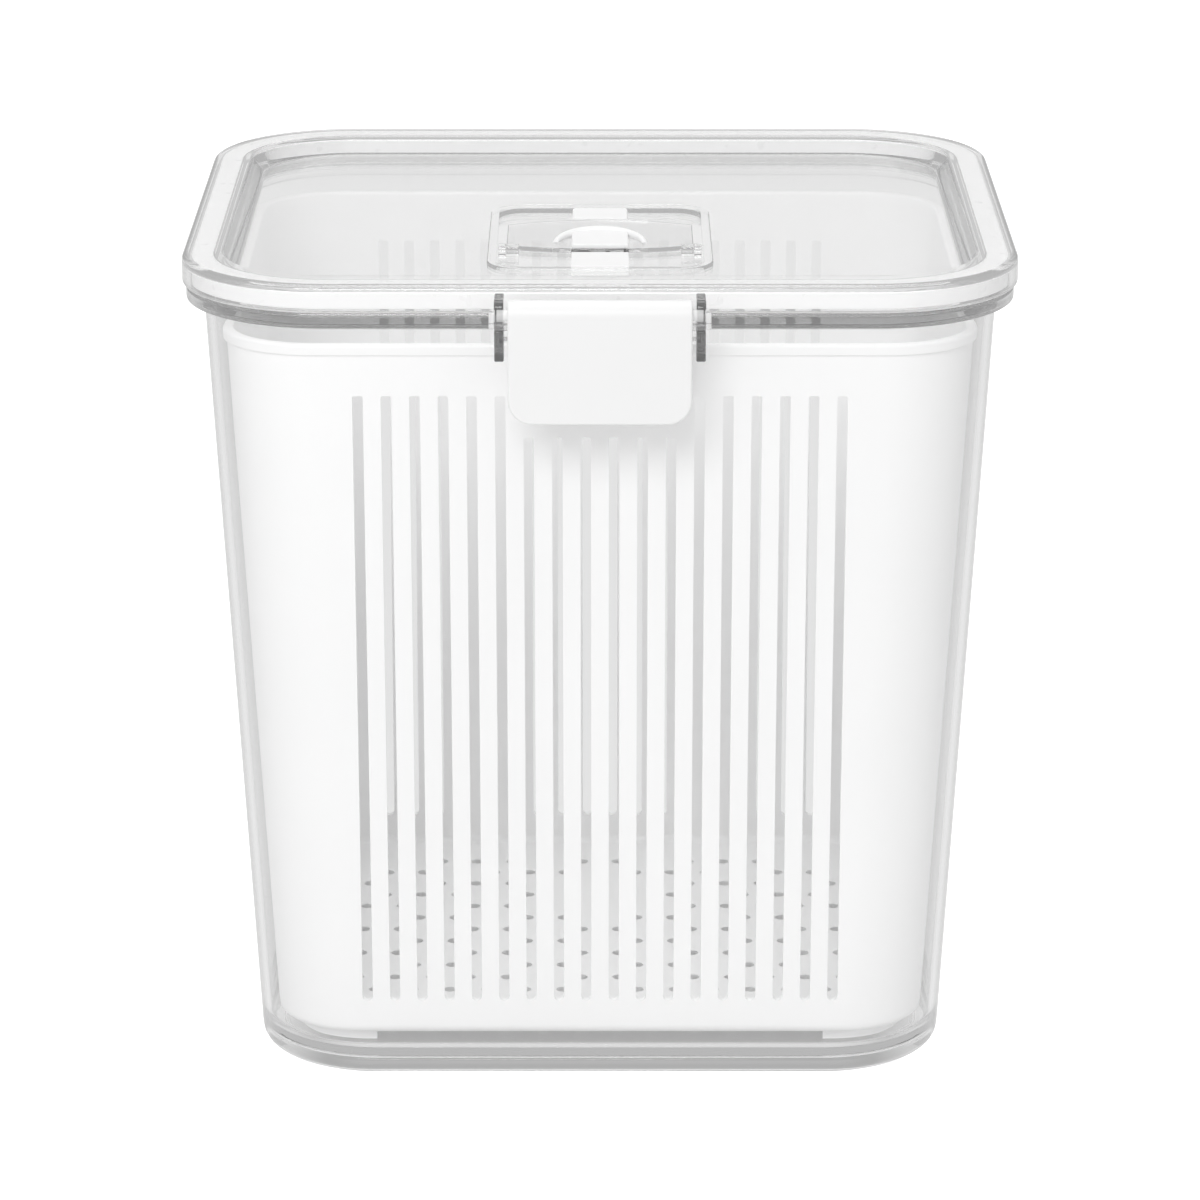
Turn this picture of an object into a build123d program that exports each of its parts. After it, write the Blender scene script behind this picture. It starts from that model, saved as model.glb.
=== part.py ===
from build123d import *
import math
import os

# Airtight storage bin with a drain basket, a snap-down lid and a vent flap.
# Millimetres. The origin is the middle of the bottom of the whole box, +Z is up, the front faces -Y.
# The pieces are drawn round the middle of the lid, and moved to the origin at the end.

# Outline of the lid, seen from above
lid_width = 224.0
lid_depth = 196.0
lid_corner_radius = 40.0

# Heights
bin_height = 223.5
floor_height = 10.0
lid_recess = 5.1

# Bin wall, rim and flange, with insets counted inwards from the lid's outline
bin_wall = 2.5
bin_floor_thickness = 3.0
wall_draft_angle = 2.92
body_inset = 5.8
body_corner_radius = 34.2
rim_inset = 5.2
flange_inset = 1.0
flange_thickness = 3.4
flange_drop = 2.5
foot_rim_width = 6.0
foot_rim_edge_chamfer = 1.8
floor_edge_chamfer = 3.5

# Lid
lid_roof_thickness = 2.3
lid_skirt_wall = 2.3
lid_edge_chamfer = 1.3
lid_seat_gap = 1.0
gasket_channel_inset = 9.0
plug_wall = 2.2
plug_reach = 8.0
panel_thickness = 2.5
recess_top_inset = 11.0
recess_foot_inset = 14.5

# Gasket
gasket_side_gap = 0.4
gasket_height = 4.6
gasket_groove_gap = 0.3
gasket_seat_height = 3.8

# Basket
basket_gap = 3.4
basket_lid_gap = 4.5
basket_wall = 2.0
basket_floor_thickness = 2.0
basket_edge_chamfer = 3.0
basket_corner_tightening = 4.3
basket_rim_lip = 0.9
basket_rim_height = 3.0
basket_foot_height = 3.5
basket_foot_inset = 2.7
basket_foot_width = 2.8
basket_foot_reach = 22.0

# Basket slots
slot_count = 18
slot_side_margin = 0.3
slot_width = 2.8
slot_foot_clearance = 8.7
slot_top_clearance = 14.4
short_slot_count = 6
short_slot_drop = 11.5

# Basket drain holes
drain_hole_diameter = 3.6
drain_pitch_x = 10.6
drain_pitch_y = 9.4
drain_edge_margin = 14.0
drain_blank_radius = 16.0
drain_blank_shift = 27.0

# Latch
latch_width = 48.0
latch_thickness = 2.5
latch_height = 32.6
latch_corner_radius = 6.5
latch_edge_chamfer = 0.6
latch_barrel_radius = 4.0
latch_stand_off = 5.5
latch_pivot_drop = 6.6
latch_side_gap = 1.0
latch_cheek_thickness = 1.6
latch_cheek_depth = 3.4
hook_width = 36.0
hook_height = 5.0
catch_gap = 0.3
catch_reach = 8.0
catch_thickness = 3.0
catch_drop = 5.5
ear_thickness = 2.5
ear_corner_radius = 2.6
lid_ear_height = 8.3
bin_ear_height = 8.2
ear_gap = 0.3
ear_overhang = 3.8
flange_notch_gap = 1.6
pin_radius = 1.5
pin_fit_gap = 0.05
pin_seat_depth = 1.8

# Vent on the lid
vent_frame_width = 61.0
vent_frame_depth = 77.0
vent_frame_radius = 10.0
vent_frame_wall = 2.4
vent_frame_rise = 1.0
vent_pocket_depth = 2.0
vent_front_margin = 35.0
flap_width = 51.0
flap_end_depth = 25.0
flap_bow_back = 6.0
flap_bow_front = 4.6
flap_thickness = 1.3
flap_lift = 0.1
flap_centre_shift = 3.6
flap_knuckle_radius = 1.4
flap_knuckle_width = 3.4
flap_pin_radius = 0.7
hinge_block_width = 2.0
vent_hole_radius = 5.3
vent_plug_gap = 0.5
strap_width = 15.4
strap_thickness = 1.1
strap_hinge_gap = 2.0
strap_tail_length = 20.0
strap_leg = 2.4
tab_height = 1.7
tab_end_gap = 1.2
crescent_radius = 13.5
crescent_width = 2.8
crescent_height = 2.0

# Heights that follow from the sizes above
flange_top_z = bin_height - flange_drop
flange_foot_z = flange_top_z - flange_thickness
floor_z = floor_height
floor_underside_z = floor_z - bin_floor_thickness
skirt_foot_z = flange_top_z + lid_seat_gap
channel_roof_z = bin_height + gasket_seat_height
lid_top_z = channel_roof_z + lid_roof_thickness
panel_top_z = lid_top_z - lid_recess
panel_foot_z = panel_top_z - panel_thickness
plug_foot_z = bin_height - plug_reach
basket_foot_z = floor_z + basket_foot_height
basket_top_z = plug_foot_z - basket_lid_gap
basket_floor_z = basket_foot_z + basket_floor_thickness
draft_ratio = math.tan(math.radians(wall_draft_angle))
catch_top_z = bin_height - catch_drop
catch_foot_z = catch_top_z - catch_thickness
pivot_z = lid_top_z - latch_pivot_drop
pivot_reach = lid_depth / 2 + latch_stand_off
lid_ear_foot_z = pivot_z + lid_ear_height / 2 - lid_ear_height + 0.4
bin_ear_top_z = lid_ear_foot_z - ear_gap
vent_shift = vent_front_margin + (vent_frame_depth - lid_depth) / 2
vent_frame_top_z = panel_top_z + vent_frame_rise
pocket_floor_z = vent_frame_top_z - vent_pocket_depth
flap_foot_z = pocket_floor_z + flap_lift
flap_top_z = flap_foot_z + flap_thickness
flap_centre_y = vent_shift + flap_centre_shift
flap_axis_y = flap_centre_y - flap_end_depth / 2 - flap_bow_front
flap_axis_z = flap_foot_z + flap_knuckle_radius


def lid_plan(inset):
    """Width, depth and corner radius of the lid's outline drawn in by an inset."""
    return lid_width - 2 * inset, lid_depth - 2 * inset, lid_corner_radius - inset


def body_plan(z, extra=0.0):
    """Plan of the bin's tapered body at a height, drawn in by an extra inset."""
    inset = body_inset + draft_ratio * (flange_foot_z - z) + extra
    return lid_width - 2 * inset, lid_depth - 2 * inset, body_corner_radius - extra


def basket_plan(z, extra=0.0):
    """Plan of the basket at a height: it follows the bin, with tighter corners."""
    width, depth, radius = body_plan(z, bin_wall + basket_gap + extra)
    return width, depth, radius - basket_corner_tightening


def tapered_block(plan, low_z, high_z, extra, edge_chamfer):
    """Solid that follows a tapered plan, with its lower edge chamfered."""
    with BuildPart() as block:
        with BuildSketch(Plane.XY.offset(low_z)):
            RectangleRounded(*plan(low_z, extra + edge_chamfer))
        with BuildSketch(Plane.XY.offset(low_z + edge_chamfer)):
            RectangleRounded(*plan(low_z + edge_chamfer, extra))
        with BuildSketch(Plane.XY.offset(high_z)):
            RectangleRounded(*plan(high_z, extra))
        loft(ruled=True)
    return block.part


def half_depth(z):
    """Distance from the middle to the bin's outer front face at a height."""
    return body_plan(z)[1] / 2


ear_inner_x = latch_width / 2 + latch_side_gap
ear_starts = (ear_inner_x, -ear_inner_x - ear_thickness)

# Bin: tapered shell with a foot rim, a flange under the lid and a plain rim above it
bin_outside = tapered_block(body_plan, 0.0, flange_foot_z, 0.0, foot_rim_edge_chamfer)
bin_hollow = tapered_block(body_plan, floor_z, flange_foot_z, bin_wall, floor_edge_chamfer)
notch_half_width = ear_inner_x + ear_thickness + flange_notch_gap

with BuildPart() as bin_shell:
    add(bin_outside)
    with BuildSketch(Plane.XY.offset(flange_foot_z)):
        RectangleRounded(*lid_plan(flange_inset))
        with Locations((0, rim_inset / 2 - lid_depth / 2)):
            Rectangle(2 * notch_half_width, rim_inset, mode=Mode.SUBTRACT)
    extrude(amount=flange_thickness)
    with BuildSketch(Plane.XY.offset(flange_foot_z)):
        RectangleRounded(*lid_plan(rim_inset))
    extrude(amount=bin_height - flange_foot_z)
    with BuildSketch(Plane.XY.offset(flange_foot_z)):
        RectangleRounded(*lid_plan(rim_inset + bin_wall))
    extrude(amount=bin_height - flange_foot_z, mode=Mode.SUBTRACT)
    add(bin_hollow, mode=Mode.SUBTRACT)
    with BuildSketch():
        RectangleRounded(*body_plan(0.0, foot_rim_width))
    extrude(amount=floor_underside_z, mode=Mode.SUBTRACT)
    # Catch ledge between a pair of ears
    ledge_start = half_depth(catch_foot_z) - bin_wall / 2
    ledge_end = half_depth(catch_foot_z) + catch_reach
    bin_ear_end = pivot_reach + ear_overhang / 2
    for start_x in ear_starts:
        with BuildSketch(Plane.YZ.offset(start_x)):
            with Locations((-(ledge_start + bin_ear_end) / 2, bin_ear_top_z - bin_ear_height / 2)):
                Rectangle(bin_ear_end - ledge_start, bin_ear_height)
        extrude(amount=ear_thickness)
    with BuildSketch(Plane.YZ.offset(-ear_inner_x)):
        with Locations((-(ledge_start + ledge_end) / 2, (catch_top_z + catch_foot_z) / 2)):
            Rectangle(ledge_end - ledge_start, catch_thickness)
    extrude(amount=2 * ear_inner_x)
    bin_shell.part.label = "bin"

# Lid: skirt, gasket channel, plug wall, sunken panel and the vent's frame and pocket
with BuildPart() as lid:
    with BuildSketch(Plane.XY.offset(skirt_foot_z)):
        RectangleRounded(*lid_plan(0.0))
    extrude(amount=lid_top_z - skirt_foot_z)
    chamfer(lid.edges().group_by(Axis.Z)[-1], lid_edge_chamfer)
    with BuildSketch(Plane.XY.offset(plug_foot_z)):
        RectangleRounded(*lid_plan(gasket_channel_inset))
    extrude(amount=skirt_foot_z - plug_foot_z)
    with BuildSketch(Plane.XY.offset(plug_foot_z)):
        RectangleRounded(*lid_plan(gasket_channel_inset + plug_wall))
    extrude(amount=panel_foot_z - plug_foot_z, mode=Mode.SUBTRACT)
    with BuildSketch(Plane.XY.offset(skirt_foot_z)):
        RectangleRounded(*lid_plan(lid_skirt_wall))
        RectangleRounded(*lid_plan(gasket_channel_inset), mode=Mode.SUBTRACT)
    extrude(amount=channel_roof_z - skirt_foot_z, mode=Mode.SUBTRACT)
    with BuildSketch(Plane.XY.offset(panel_top_z)):
        RectangleRounded(*lid_plan(recess_foot_inset))
    with BuildSketch(Plane.XY.offset(lid_top_z)):
        RectangleRounded(*lid_plan(recess_top_inset))
    loft(ruled=True, mode=Mode.SUBTRACT)
    # Frame and pocket of the vent, with the hole that its plug closes
    with BuildSketch(Plane.XY.offset(panel_top_z)):
        with Locations((0, vent_shift)):
            RectangleRounded(vent_frame_width, vent_frame_depth, vent_frame_radius)
    extrude(amount=vent_frame_rise)
    with BuildSketch(Plane.XY.offset(pocket_floor_z)):
        with Locations((0, vent_shift)):
            RectangleRounded(
                vent_frame_width - 2 * vent_frame_wall,
                vent_frame_depth - 2 * vent_frame_wall,
                vent_frame_radius - vent_frame_wall,
            )
    extrude(amount=vent_pocket_depth, mode=Mode.SUBTRACT)
    with BuildSketch(Plane.XY.offset(panel_foot_z)):
        with Locations((0, flap_centre_y)):
            Circle(vent_hole_radius)
        strap_slot_y = vent_shift - vent_frame_depth / 2 + vent_frame_wall + strap_leg / 2
        with Locations((0, strap_slot_y)):
            Rectangle(strap_width, strap_leg)
    extrude(amount=pocket_floor_z - panel_foot_z, mode=Mode.SUBTRACT)
    # Hinge blocks in the pocket, beside the flap's front corners
    block_start_x = flap_width / 2 + flap_lift
    for start_x in (block_start_x, -block_start_x - hinge_block_width):
        with BuildSketch(Plane.YZ.offset(start_x)):
            with Locations((flap_axis_y, flap_axis_z)):
                Circle(flap_knuckle_radius)
            with Locations((flap_axis_y, (pocket_floor_z + flap_axis_z) / 2)):
                Rectangle(2 * flap_knuckle_radius, flap_axis_z - pocket_floor_z)
        extrude(amount=hinge_block_width)
    with BuildSketch(Plane.YZ.offset(-block_start_x - hinge_block_width)):
        with Locations((flap_axis_y, flap_axis_z)):
            Circle(flap_pin_radius + pin_fit_gap)
    extrude(amount=2 * (block_start_x + hinge_block_width), mode=Mode.SUBTRACT)
    # Ears that carry the latch's pin
    ear_start = lid_depth / 2 - lid_skirt_wall / 2
    ear_end = pivot_reach + ear_overhang
    for start_x in ear_starts:
        with BuildSketch(Plane.YZ.offset(start_x)) as ear:
            with Locations((-(ear_start + ear_end) / 2, lid_ear_foot_z + lid_ear_height / 2)):
                Rectangle(ear_end - ear_start, lid_ear_height)
            fillet(ear.vertices().group_by(Axis.Y)[0], ear_corner_radius)
        extrude(amount=ear_thickness)
    pin_bore_x = ear_inner_x + pin_seat_depth
    with BuildSketch(Plane.YZ.offset(-pin_bore_x)):
        with Locations((-pivot_reach, pivot_z)):
            Circle(pin_radius + pin_fit_gap)
    extrude(amount=2 * pin_bore_x, mode=Mode.SUBTRACT)
    lid.part.label = "lid"

# Gasket in the lid's channel, grooved where it sits on the bin's rim
with BuildPart() as lid_gasket:
    with BuildSketch(Plane.XY.offset(channel_roof_z - gasket_height)):
        RectangleRounded(*lid_plan(lid_skirt_wall + gasket_side_gap))
        RectangleRounded(*lid_plan(gasket_channel_inset - gasket_side_gap), mode=Mode.SUBTRACT)
    extrude(amount=gasket_height)
    with BuildSketch(Plane.XY.offset(channel_roof_z - gasket_height)):
        RectangleRounded(*lid_plan(rim_inset - gasket_groove_gap))
        RectangleRounded(*lid_plan(rim_inset + bin_wall + gasket_groove_gap), mode=Mode.SUBTRACT)
    extrude(amount=gasket_height - gasket_seat_height, mode=Mode.SUBTRACT)
    lid_gasket.part.label = "lid_gasket"

# Basket: tapered shell that follows the bin, on corner feet, slotted front and back
basket_rim_foot_z = basket_top_z - basket_rim_height
basket_outside = tapered_block(basket_plan, basket_foot_z, basket_rim_foot_z, 0.0, basket_edge_chamfer)
basket_hollow = tapered_block(
    basket_plan, basket_floor_z, basket_top_z, basket_wall, basket_edge_chamfer - basket_wall / 2
)
slot_foot_z = basket_foot_z + slot_foot_clearance
slot_top_z = basket_top_z - slot_top_clearance
basket_low_width, basket_low_depth, basket_low_radius = basket_plan(basket_foot_z)
slot_field_width = basket_low_width - 2 * basket_low_radius - slot_width - 2 * slot_side_margin
slot_pitch = slot_field_width / (slot_count - 1)
foot_inset = basket_foot_inset + basket_edge_chamfer
foot_width = basket_low_width - 2 * foot_inset
foot_depth = basket_low_depth - 2 * foot_inset
foot_radius = basket_low_radius - foot_inset
drain_field_width = basket_low_width - 2 * basket_wall - 2 * drain_edge_margin
drain_field_depth = basket_low_depth - 2 * basket_wall - 2 * drain_edge_margin
drain_columns = int(drain_field_width / drain_pitch_x) + 1
drain_rows = int(drain_field_depth / drain_pitch_y) + 1
drain_corner = basket_low_radius - basket_wall - drain_edge_margin / 2


def drain_points():
    """Centres of the floor holes: staggered rows with a round blank and rounded corners."""
    points = []
    for row in range(drain_rows):
        shift = drain_pitch_x / 2 if row % 2 else 0.0
        columns = drain_columns - 1 if row % 2 else drain_columns
        y = (row - (drain_rows - 1) / 2) * drain_pitch_y
        for column in range(columns):
            x = (column - (drain_columns - 1) / 2) * drain_pitch_x + shift
            corner_x = max(abs(x) - (drain_field_width / 2 - drain_corner), 0.0)
            corner_y = max(abs(y) - (drain_field_depth / 2 - drain_corner), 0.0)
            inside_corner = math.hypot(corner_x, corner_y) <= drain_corner
            if inside_corner and math.hypot(x, y - drain_blank_shift) > drain_blank_radius:
                points.append((x, y))
    return points


def slot_cutter(top_z, columns):
    """Sketch of the slots of the given columns: flat tops and narrowed lower ends."""
    centres = [(column - (slot_count - 1) / 2) * slot_pitch for column in columns]
    half = slot_width / 2
    corners = [
        (-half, top_z),
        (half, top_z),
        (half, slot_foot_z + half),
        (half / 2, slot_foot_z),
        (-half / 2, slot_foot_z),
        (-half, slot_foot_z + half),
    ]
    with BuildSketch(Plane.XZ.offset(-lid_depth / 2)) as cutter:
        with Locations([(x, 0) for x in centres]):
            Polygon(*corners, align=None)
    return cutter.sketch


first_short = (slot_count - short_slot_count) // 2
short_columns = range(first_short, first_short + short_slot_count)
long_columns = [column for column in range(slot_count) if column not in short_columns]
back_slots = slot_cutter(slot_top_z, range(slot_count))
front_long_slots = slot_cutter(slot_top_z, long_columns)
front_short_slots = slot_cutter(slot_top_z - short_slot_drop, short_columns)

with BuildPart() as basket:
    add(basket_outside)
    with BuildSketch(Plane.XY.offset(basket_rim_foot_z)):
        RectangleRounded(*basket_plan(basket_top_z, -basket_rim_lip))
    extrude(amount=basket_rim_height)
    add(basket_hollow, mode=Mode.SUBTRACT)
    extrude(back_slots, amount=lid_depth / 2, mode=Mode.SUBTRACT)
    extrude(front_long_slots, amount=lid_depth, dir=(0, -1, 0), mode=Mode.SUBTRACT)
    extrude(front_short_slots, amount=lid_depth, dir=(0, -1, 0), mode=Mode.SUBTRACT)
    with BuildSketch(Plane.XY.offset(basket_foot_z)):
        with Locations(drain_points()):
            Rectangle(drain_hole_diameter * 0.85, drain_hole_diameter * 0.85)
    extrude(amount=basket_floor_thickness, mode=Mode.SUBTRACT)
    # Feet: a ring set in from the side, kept only round the four corners
    with BuildSketch(Plane.XY.offset(floor_z)):
        RectangleRounded(foot_width, foot_depth, foot_radius)
        RectangleRounded(
            foot_width - 2 * basket_foot_width,
            foot_depth - 2 * basket_foot_width,
            foot_radius - basket_foot_width,
            mode=Mode.SUBTRACT,
        )
        Rectangle(foot_width - 2 * basket_foot_reach, foot_depth, mode=Mode.SUBTRACT)
        Rectangle(foot_width, foot_depth - 2 * basket_foot_reach, mode=Mode.SUBTRACT)
    extrude(amount=basket_foot_height + basket_floor_thickness / 2)
    basket.part.label = "basket"

# Latch: a plate with rounded lower corners, a hinge barrel, cheeks and a hook rib
latch_face_y = pivot_reach + latch_barrel_radius
latch_inner_y = latch_face_y - latch_thickness
latch_foot_z = pivot_z + latch_barrel_radius - latch_height
hook_nose_y = half_depth(catch_foot_z) + catch_reach + catch_gap
hook_top_z = catch_foot_z - catch_gap
cheek_end_y = latch_inner_y - latch_cheek_depth
cheek_foot_z = latch_foot_z + latch_corner_radius

with BuildPart() as latch:
    with BuildSketch(Plane.XZ.offset(latch_inner_y)) as plate:
        with Locations((0, (pivot_z + latch_foot_z) / 2)):
            Rectangle(latch_width, pivot_z - latch_foot_z)
        fillet(plate.vertices().group_by(Axis.Z)[0], latch_corner_radius)
    extrude(amount=latch_thickness)
    chamfer(latch.faces().sort_by(Axis.Y)[0].edges().group_by(Axis.Z)[0], latch_edge_chamfer)
    with BuildSketch(Plane.YZ.offset(-latch_width / 2)):
        with Locations((-pivot_reach, pivot_z)):
            Circle(latch_barrel_radius)
    extrude(amount=latch_width)
    with BuildSketch(Plane.YZ.offset(-hook_width / 2)):
        with Locations((-(latch_inner_y + hook_nose_y) / 2, hook_top_z - hook_height / 2)):
            Rectangle(latch_inner_y - hook_nose_y, hook_height)
    extrude(amount=hook_width)
    for start_x in (-latch_width / 2, latch_width / 2 - latch_cheek_thickness):
        with BuildSketch(Plane.YZ.offset(start_x)):
            with Locations((-(latch_inner_y + cheek_end_y) / 2, (pivot_z + cheek_foot_z) / 2)):
                Rectangle(latch_cheek_depth, pivot_z - cheek_foot_z)
        extrude(amount=latch_cheek_thickness)
    with BuildSketch(Plane.YZ.offset(-latch_width / 2)):
        with Locations((-pivot_reach, pivot_z)):
            Circle(pin_radius + pin_fit_gap)
    extrude(amount=latch_width, mode=Mode.SUBTRACT)
    latch.part.label = "latch"

with BuildPart() as latch_pin:
    with BuildSketch(Plane.YZ.offset(-ear_inner_x - pin_seat_depth)):
        with Locations((-pivot_reach, pivot_z)):
            Circle(pin_radius)
    extrude(amount=2 * (ear_inner_x + pin_seat_depth))
    latch_pin.part.label = "latch_pin"

# Vent flap: a bowed clear plate on two knuckles with trunnions, pierced for the plug
flap_half = flap_width / 2
flap_pin_end_x = flap_half + flap_lift + hinge_block_width
flap_back_y = flap_centre_y + flap_end_depth / 2
flap_front_y = flap_centre_y - flap_end_depth / 2

with BuildPart() as vent_flap:
    with BuildSketch(Plane.XY.offset(flap_foot_z)):
        with BuildLine():
            ThreePointArc((-flap_half, flap_back_y), (0, flap_back_y + flap_bow_back), (flap_half, flap_back_y))
            Line((flap_half, flap_back_y), (flap_half, flap_front_y))
            ThreePointArc((flap_half, flap_front_y), (0, flap_front_y - flap_bow_front), (-flap_half, flap_front_y))
            Line((-flap_half, flap_front_y), (-flap_half, flap_back_y))
        make_face()
    extrude(amount=flap_thickness)
    for start_x in (-flap_half, flap_half - flap_knuckle_width):
        with BuildSketch(Plane.YZ.offset(start_x)):
            with Locations((flap_axis_y, flap_axis_z)):
                Circle(flap_knuckle_radius)
            with Locations(((flap_axis_y + flap_front_y) / 2, flap_foot_z + flap_thickness / 2)):
                Rectangle(flap_front_y - flap_axis_y, flap_thickness)
        extrude(amount=flap_knuckle_width)
    for start_x in (-flap_pin_end_x, flap_half - flap_knuckle_width / 2):
        with BuildSketch(Plane.YZ.offset(start_x)):
            with Locations((flap_axis_y, flap_axis_z)):
                Circle(flap_pin_radius)
        extrude(amount=flap_pin_end_x - flap_half + flap_knuckle_width / 2)
    with BuildSketch(Plane.XY.offset(flap_foot_z)):
        with Locations((0, flap_centre_y)):
            Circle(vent_hole_radius - vent_plug_gap)
    extrude(amount=flap_thickness, mode=Mode.SUBTRACT)
    vent_flap.part.label = "vent_flap"

# Vent plug: stopper in the hole, strap over the flap's front half and a thumb crescent
strap_end_y = flap_axis_y + strap_hinge_gap / 2
strap_start_y = flap_centre_y + crescent_width
crescent_centre_y = flap_centre_y - crescent_radius + crescent_width + 1
crescent_slope = math.degrees(math.atan2(crescent_height, crescent_radius))
crescent_cut = Plane(
    origin=(0, crescent_centre_y, flap_top_z),
    x_dir=(1, 0, 0),
    z_dir=(0, -math.sin(math.radians(crescent_slope)), math.cos(math.radians(crescent_slope))),
)

with BuildPart() as crescent:
    with BuildSketch(Plane.XY.offset(flap_top_z)):
        with Locations((0, crescent_centre_y)):
            Circle(crescent_radius)
            Circle(crescent_radius - crescent_width, mode=Mode.SUBTRACT)
        with Locations((0, crescent_centre_y - crescent_radius / 2 + 0.5)):
            Rectangle(2 * crescent_radius, crescent_radius + 1, mode=Mode.SUBTRACT)
    extrude(amount=2 * crescent_height)
    split(bisect_by=crescent_cut, keep=Keep.BOTTOM)

with BuildPart() as vent_plug:
    with BuildSketch(Plane.XY.offset(flap_top_z)):
        with Locations((0, (strap_start_y + strap_end_y) / 2)):
            Rectangle(strap_width, strap_start_y - strap_end_y)
    extrude(amount=strap_thickness)
    add(crescent.part)
    with BuildSketch(Plane.XY.offset(panel_foot_z)):
        with Locations((0, flap_centre_y)):
            Circle(vent_hole_radius - vent_plug_gap)
    extrude(amount=flap_top_z - panel_foot_z)
    vent_plug.part.label = "vent_plug"

# Finger tab on the flap's back edge
pocket_back_y = vent_shift + vent_frame_depth / 2 - vent_frame_wall
tab_end_y = pocket_back_y - tab_end_gap
flap_tip_y = flap_back_y + flap_bow_back
with BuildPart() as vent_tab:
    with BuildSketch(Plane.XY.offset(flap_foot_z)) as tab:
        with Locations((0, (tab_end_y + flap_tip_y) / 2)):
            Rectangle(strap_width, tab_end_y - flap_tip_y)
        fillet(tab.vertices().group_by(Axis.Y)[-1], strap_width / 10)
    extrude(amount=tab_height)
    vent_tab.part.label = "vent_tab"

# Anchor of the strap: pad in the pocket, leg through the panel and tail under it
anchor_back_y = flap_axis_y - strap_hinge_gap
anchor_front_y = strap_slot_y - strap_leg / 2
with BuildPart() as strap_anchor:
    with BuildSketch(Plane.XY.offset(pocket_floor_z)):
        with Locations((0, (anchor_back_y + anchor_front_y) / 2)):
            Rectangle(strap_width, anchor_back_y - anchor_front_y)
    extrude(amount=strap_thickness)
    with BuildSketch(Plane.XY.offset(panel_foot_z - strap_thickness)):
        with Locations((0, strap_slot_y)):
            Rectangle(strap_width, strap_leg)
    extrude(amount=pocket_floor_z - panel_foot_z + strap_thickness)
    with BuildSketch(Plane.XY.offset(panel_foot_z - strap_thickness)):
        with Locations((0, strap_slot_y + strap_leg / 2 - strap_tail_length / 2)):
            Rectangle(strap_width, strap_tail_length)
    extrude(amount=strap_thickness)
    strap_anchor.part.label = "strap_anchor"

pieces = [
    bin_shell,
    lid,
    lid_gasket,
    basket,
    latch,
    latch_pin,
    vent_flap,
    vent_plug,
    vent_tab,
    strap_anchor,
]
# The latch stands out at the front, so the middle of the whole box lies in front of the lid's middle
to_origin = Location((0, (latch_face_y - lid_depth / 2) / 2, 0))
os.makedirs("parts", exist_ok=True)
for piece in pieces:
    placed = piece.part.moved(to_origin)
    placed.label = piece.part.label
    export_step(placed, f"parts/{placed.label}.step")
print("floor holes", len(drain_points()), "shift", to_origin.position.Y)
print("latch pivot", -pivot_reach, pivot_z, "flap axis", flap_axis_y, flap_axis_z)
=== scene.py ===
"""Airtight storage bin with a drain basket, dressed for a plain studio photograph.

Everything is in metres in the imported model's frame: +Z up, the front with its latch faces -Y.
"""
import logging
import math
from dataclasses import dataclass, replace
from enum import Enum
from typing import Optional, Sequence

import bmesh
import bpy
from bmesh.types import BMesh, BMVert
from bpy.types import Material, Mesh, Node, NodeSocket, NodeTree, Object
from mathutils import Matrix, Vector


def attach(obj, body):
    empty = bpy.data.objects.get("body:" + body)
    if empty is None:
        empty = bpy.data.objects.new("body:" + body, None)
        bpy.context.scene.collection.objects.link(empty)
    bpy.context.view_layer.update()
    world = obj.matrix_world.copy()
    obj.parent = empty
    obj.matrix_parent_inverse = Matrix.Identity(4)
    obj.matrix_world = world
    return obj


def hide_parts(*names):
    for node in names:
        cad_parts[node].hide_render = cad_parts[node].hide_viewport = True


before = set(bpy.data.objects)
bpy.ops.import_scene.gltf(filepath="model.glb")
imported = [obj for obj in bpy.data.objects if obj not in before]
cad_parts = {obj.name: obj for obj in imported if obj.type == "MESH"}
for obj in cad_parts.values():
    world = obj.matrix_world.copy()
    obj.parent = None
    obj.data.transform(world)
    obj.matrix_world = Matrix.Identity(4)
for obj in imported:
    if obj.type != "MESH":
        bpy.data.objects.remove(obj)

LOG = logging.getLogger("storage_bin")
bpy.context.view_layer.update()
LID_MIDDLE_Y = 0.00475
SHARP_DEGREES = 32.0
BEVEL_DEGREES = 35.0
WELD_DISTANCE = 1e-6
OVERCUT = 0.001
WHITE = (1.0, 1.0, 1.0, 1.0)
Point2 = tuple[float, float]
Point3 = tuple[float, float, float]


class Along(Enum):
    """Direction in which an outline is drawn out into a prism."""

    X = "x"
    Y = "y"
    Z = "z"


class Cut(Enum):
    """How one mesh is combined with another."""

    JOIN = "UNION"
    REMOVE = "DIFFERENCE"


class Round(float, Enum):
    """Radii of rounded edges, from the finest to the softest."""

    HAIR = 0.0002
    FINE = 0.0003
    SMALL = 0.0004
    MOULD = 0.0005
    EDGE = 0.0006
    SOFT = 0.0008


@dataclass(frozen=True)
class WallPoint:
    """A corner in a wall's section, drawn from the lid's outline inwards.

    Args:
        inset: distance in from the lid's outline.
        z: height.
        corner: plan radius of the rounded rectangle at this place.
        round: radius that rounds this corner of the section.
    """

    inset: float
    z: float
    corner: float
    round: float = 0.0


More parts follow.
